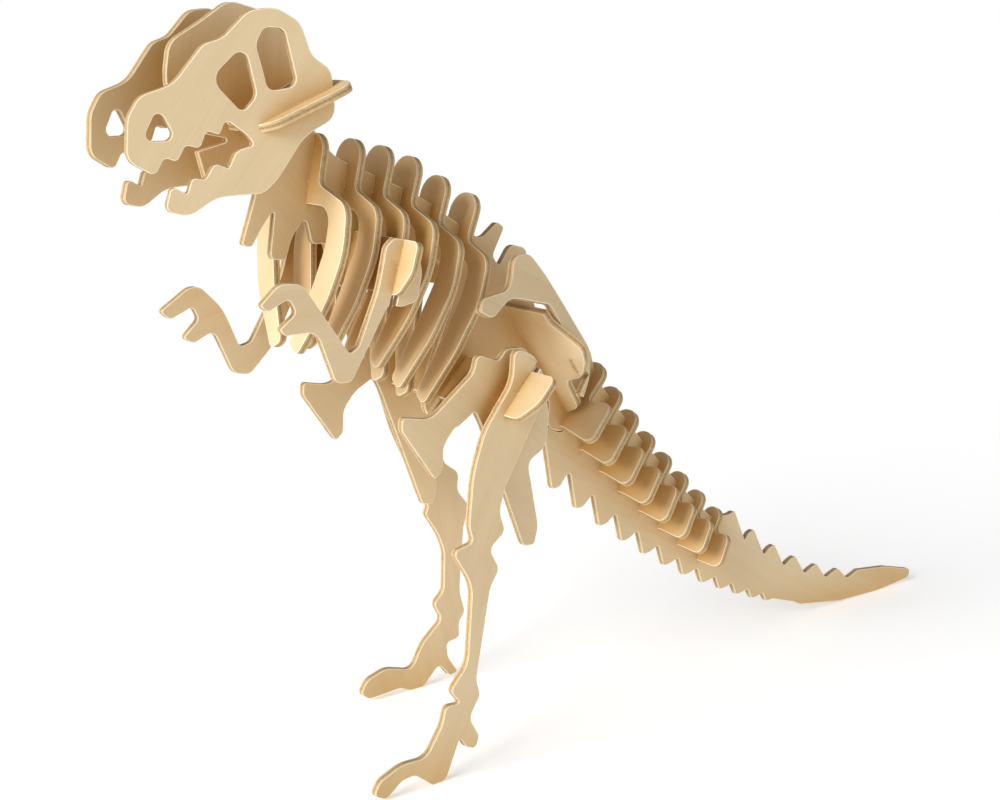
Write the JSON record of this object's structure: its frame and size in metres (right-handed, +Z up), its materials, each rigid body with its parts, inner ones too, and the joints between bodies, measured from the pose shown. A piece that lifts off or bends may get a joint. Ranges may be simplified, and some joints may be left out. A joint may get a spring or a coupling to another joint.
{
  "type": "plywood skeleton puzzle",
  "caption": "Slot-together plywood skeleton of a walking theropod: flat plates crossed by halving slots, with a toothed skull, rib cage, clawed arms, striding legs and a spiked tail.",
  "frame": {"origin": "centre of the footprint's bounding box, on the surface that the feet and tail stand on", "axes": "+X from the snout to the tail tip, +Z up; the animal's left side is at -Y"},
  "size_m": [0.4416, 0.113, 0.2933],
  "materials": {
    "plywood": "unfinished laser-cut plywood"
  },
  "bodies": {
    "root": {"spine": "plywood", "shoulder_bar": "plywood", "sacrum": "plywood", "ilium_left": "plywood", "ilium_right": "plywood", "hip_left": "plywood", "hip_right": "plywood", "hip_bar": "plywood", "leg_left": "plywood", "leg_right": "plywood", "tail": "plywood"},
    "head": {"skull_left": "plywood", "skull_right": "plywood", "skull_centre": "plywood", "skull_deck": "plywood"},
    "rib_1": {"rib_1": "plywood"},
    "rib_2": {"rib_2": "plywood"},
    "rib_3": {"rib_3": "plywood"},
    "rib_4": {"rib_4": "plywood"},
    "rib_5": {"rib_5": "plywood"},
    "rib_6": {"rib_6": "plywood"},
    "arm_left": {"arm_left": "plywood"},
    "arm_right": {"arm_right": "plywood"},
    "tail_cross_1": {"tail_cross_1": "plywood"},
    "tail_cross_2": {"tail_cross_2": "plywood"},
    "tail_cross_3": {"tail_cross_3": "plywood"},
    "tail_cross_4": {"tail_cross_4": "plywood"},
    "tail_cross_5": {"tail_cross_5": "plywood"},
    "tail_cross_6": {"tail_cross_6": "plywood"},
    "tail_cross_7": {"tail_cross_7": "plywood"},
    "tail_cross_8": {"tail_cross_8": "plywood"}
  },
  "joints": [
    {"name": "head_slide", "type": "slide", "parent": "root", "child": "head", "axis": [-0.9135, 0, -0.4067], "range_m": [0, 0.01]},
    {"name": "rib_1_slide", "type": "slide", "parent": "root", "child": "rib_1", "axis": [0.1908, 0, 0.9816], "range_m": [0, 0.008]},
    {"name": "rib_2_slide", "type": "slide", "parent": "root", "child": "rib_2", "axis": [0.225, 0, 0.9744], "range_m": [0, 0.008]},
    {"name": "rib_3_slide", "type": "slide", "parent": "root", "child": "rib_3", "axis": [0.2588, 0, 0.9659], "range_m": [0, 0.008]},
    {"name": "rib_4_slide", "type": "slide", "parent": "root", "child": "rib_4", "axis": [0.2756, 0, 0.9613], "range_m": [0, 0.008]},
    {"name": "rib_5_slide", "type": "slide", "parent": "root", "child": "rib_5", "axis": [0.309, 0, 0.9511], "range_m": [0, 0.008]},
    {"name": "rib_6_slide", "type": "slide", "parent": "root", "child": "rib_6", "axis": [0.342, 0, 0.9397], "range_m": [0, 0.008]},
    {"name": "arm_left_slide", "type": "slide", "parent": "root", "child": "arm_left", "axis": [0.2756, 0, 0.9613], "range_m": [0, 0.01]},
    {"name": "arm_right_slide", "type": "slide", "parent": "root", "child": "arm_right", "axis": [0.2756, 0, 0.9613], "range_m": [0, 0.01]},
    {"name": "tail_cross_1_slide", "type": "slide", "parent": "root", "child": "tail_cross_1", "axis": [0.6691, 0, 0.7431], "range_m": [0, 0.012]},
    {"name": "tail_cross_2_slide", "type": "slide", "parent": "root", "child": "tail_cross_2", "axis": [0.6428, 0, 0.766], "range_m": [0, 0.012]},
    {"name": "tail_cross_3_slide", "type": "slide", "parent": "root", "child": "tail_cross_3", "axis": [0.6157, 0, 0.788], "range_m": [0, 0.012]},
    {"name": "tail_cross_4_slide", "type": "slide", "parent": "root", "child": "tail_cross_4", "axis": [0.5878, 0, 0.809], "range_m": [0, 0.012]},
    {"name": "tail_cross_5_slide", "type": "slide", "parent": "root", "child": "tail_cross_5", "axis": [0.5592, 0, 0.829], "range_m": [0, 0.012]},
    {"name": "tail_cross_6_slide", "type": "slide", "parent": "root", "child": "tail_cross_6", "axis": [0.5299, 0, 0.848], "range_m": [0, 0.012]},
    {"name": "tail_cross_7_slide", "type": "slide", "parent": "root", "child": "tail_cross_7", "axis": [0.5, 0, 0.866], "range_m": [0, 0.012]},
    {"name": "tail_cross_8_slide", "type": "slide", "parent": "root", "child": "tail_cross_8", "axis": [0.4695, 0, 0.8829], "range_m": [0, 0.012]}
  ]
}
